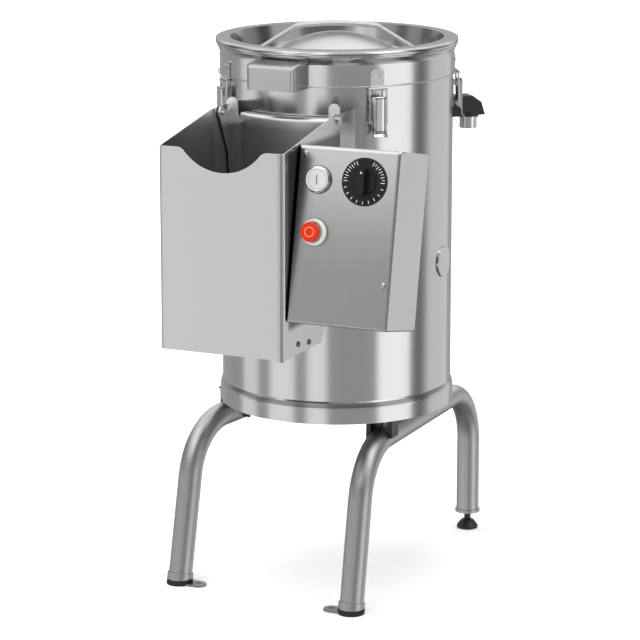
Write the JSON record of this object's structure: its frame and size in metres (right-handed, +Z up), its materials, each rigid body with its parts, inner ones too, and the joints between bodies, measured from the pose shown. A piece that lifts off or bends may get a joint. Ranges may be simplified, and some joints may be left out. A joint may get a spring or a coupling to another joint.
{
  "type": "electric potato peeler",
  "caption": "Floor-standing steel drum peeler on three tube legs, with latched collar, domed lid, discharge chute and a timer control box.",
  "frame": {"origin": "centre of the bounding box on the floor, under the drum's foot", "axes": "+Z up, -Y towards the chute and control panel, +X to the control box's side"},
  "size_m": [0.4436, 0.6819, 0.8308],
  "materials": {
    "drum_steel": "satin, vertical reflections",
    "bright_steel": "satin",
    "sheet_steel": "satin",
    "panel_steel": "satin",
    "tube_steel": "satin",
    "lid_steel": "polished",
    "door_steel": "satin",
    "latch_steel": "polished",
    "chrome": "polished",
    "cast_iron": "machined",
    "motor_paint": "satin",
    "black_paint": "satin",
    "black_plastic": "matte",
    "black_rubber": "matte",
    "dial_black": "matte",
    "white_plastic": "gloss",
    "clear_cap": "gloss",
    "red_plastic": "gloss",
    "abrasive": "coarse grit"
  },
  "bodies": {
    "machine": {"drum_shell": "drum_steel", "base_ring": "drum_steel", "base_plate": "bright_steel", "collar": "drum_steel", "collar_seal": "black_rubber", "switch_cover": "drum_steel", "bowl_floor": "bright_steel", "bowl_liner": "abrasive", "drain_spout": "bright_steel", "door_seal": "black_rubber", "chute_front": "sheet_steel", "chute_side": "sheet_steel", "chute_slide": "sheet_steel", "chute_brackets": "sheet_steel", "chute_screws": "bright_steel", "door_pins": "bright_steel", "box_cover": "panel_steel", "box_back": "panel_steel", "box_duct": "panel_steel", "panel_screws": "bright_steel", "start_bezel": "chrome", "stop_bezel": "white_plastic", "timer_body": "white_plastic", "timer_scale": "dial_black", "side_plug": "drum_steel", "catch_plates": "latch_steel", "latch_bases": "latch_steel", "water_valve": "black_plastic", "cable_gland": "black_plastic", "bearing_housing": "cast_iron", "bearings": "bright_steel", "shaft_seal": "black_rubber", "motor_plate": "bright_steel", "motor": "motor_paint", "drive_belt": "black_rubber", "leg_front_left": "tube_steel", "leg_hoop": "tube_steel", "leg_brackets": "black_paint", "tube_caps": "black_plastic", "floor_tabs": "tube_steel"},
    "lid": {"lid": "lid_steel", "lid_handle": "lid_steel"},
    "discharge_door": {"discharge_door": "door_steel"},
    "start_button": {"start_button": "clear_cap"},
    "stop_button": {"stop_button": "red_plastic"},
    "timer_knob": {"timer_knob": "dial_black"},
    "rear_foot": {"rear_foot": "black_plastic"},
    "rotor": {"spindle": "bright_steel", "peeling_disc": "abrasive", "driven_pulley": "cast_iron"},
    "motor_pulley": {"motor_pulley": "cast_iron"},
    "lever_front_right": {"latch_lever_front_right": "latch_steel"},
    "bail_front_right": {"latch_bail_front_right": "latch_steel"},
    "lever_front_left": {"latch_lever_front_left": "latch_steel"},
    "bail_front_left": {"latch_bail_front_left": "latch_steel"},
    "lever_rear_right": {"latch_lever_rear_right": "latch_steel"},
    "bail_rear_right": {"latch_bail_rear_right": "latch_steel"},
    "lever_rear_left": {"latch_lever_rear_left": "latch_steel"},
    "bail_rear_left": {"latch_bail_rear_left": "latch_steel"}
  },
  "joints": [
    {"name": "lid_lift", "type": "slide", "parent": "machine", "child": "lid", "axis": [0, 0, 1], "range_m": [0, 0.15]},
    {"name": "door_swing", "type": "hinge", "parent": "machine", "child": "discharge_door", "pos_m": [-0.02025, -0.1585, 0.7205], "axis": [-1, 0, 0], "range_deg": [0, 45]},
    {"name": "start_press", "type": "slide", "parent": "machine", "child": "start_button", "axis": [0, 0.9806, -0.1959], "range_m": [0, 0.004], "stiffness_N_per_m": 500, "springref_m": -0.004},
    {"name": "stop_press", "type": "slide", "parent": "machine", "child": "stop_button", "axis": [0, 0.9806, -0.1959], "range_m": [0, 0.004], "stiffness_N_per_m": 500, "springref_m": -0.004},
    {"name": "timer_turn", "type": "hinge", "parent": "machine", "child": "timer_knob", "pos_m": [0.17225, -0.30301, 0.66553], "axis": [0, 0.9806, -0.1959], "range_deg": [0, 300]},
    {"name": "rear_foot_screw", "type": "slide", "parent": "machine", "child": "rear_foot", "axis": [0, 0, 1], "range_m": [-0.008, 0.005]},
    {"name": "disc_spin", "type": "hinge", "parent": "machine", "child": "rotor", "pos_m": [-0.02025, 0.0495, 0.443], "axis": [0, 0, 1], "continuous": true},
    {"name": "motor_spin", "type": "hinge", "parent": "machine", "child": "motor_pulley", "pos_m": [-0.02025, 0.1475, 0.29], "axis": [0, 0, 1], "continuous": true},
    {"name": "lever_front_right", "type": "hinge", "parent": "machine", "child": "lever_front_right", "pos_m": [0.10137, -0.08184, 0.739], "axis": [-0.7337, -0.6794, 0], "range_deg": [0, 90]},
    {"name": "bail_front_right", "type": "hinge", "parent": "lever_front_right", "child": "bail_front_right", "pos_m": [0.10137, -0.08184, 0.709], "axis": [-0.7337, -0.6794, 0], "range_deg": [-53.1, 0]},
    {"name": "lever_front_left", "type": "hinge", "parent": "machine", "child": "lever_front_left", "pos_m": [-0.14187, -0.08184, 0.739], "axis": [-0.7337, 0.6794, 0], "range_deg": [0, 90]},
    {"name": "bail_front_left", "type": "hinge", "parent": "lever_front_left", "child": "bail_front_left", "pos_m": [-0.14187, -0.08184, 0.709], "axis": [-0.7337, 0.6794, 0], "range_deg": [-53.1, 0]},
    {"name": "lever_rear_right", "type": "hinge", "parent": "machine", "child": "lever_rear_right", "pos_m": [0.13477, 0.139, 0.739], "axis": [0.5, -0.866, 0], "range_deg": [0, 90]},
    {"name": "bail_rear_right", "type": "hinge", "parent": "lever_rear_right", "child": "bail_rear_right", "pos_m": [0.13477, 0.139, 0.709], "axis": [0.5, -0.866, 0], "range_deg": [-53.1, 0]},
    {"name": "lever_rear_left", "type": "hinge", "parent": "machine", "child": "lever_rear_left", "pos_m": [-0.17527, 0.139, 0.739], "axis": [0.5, 0.866, 0], "range_deg": [0, 90]},
    {"name": "bail_rear_left", "type": "hinge", "parent": "lever_rear_left", "child": "bail_rear_left", "pos_m": [-0.17527, 0.139, 0.709], "axis": [0.5, 0.866, 0], "range_deg": [-53.1, 0]}
  ],
  "couplings": [
    {"joint": "motor_spin", "follows": "disc_spin", "ratio": 2.4762},
    {"joint": "bail_front_right", "follows": "lever_front_right", "ratio": -0.59},
    {"joint": "bail_front_left", "follows": "lever_front_left", "ratio": -0.59},
    {"joint": "bail_rear_right", "follows": "lever_rear_right", "ratio": -0.59},
    {"joint": "bail_rear_left", "follows": "lever_rear_left", "ratio": -0.59}
  ]
}
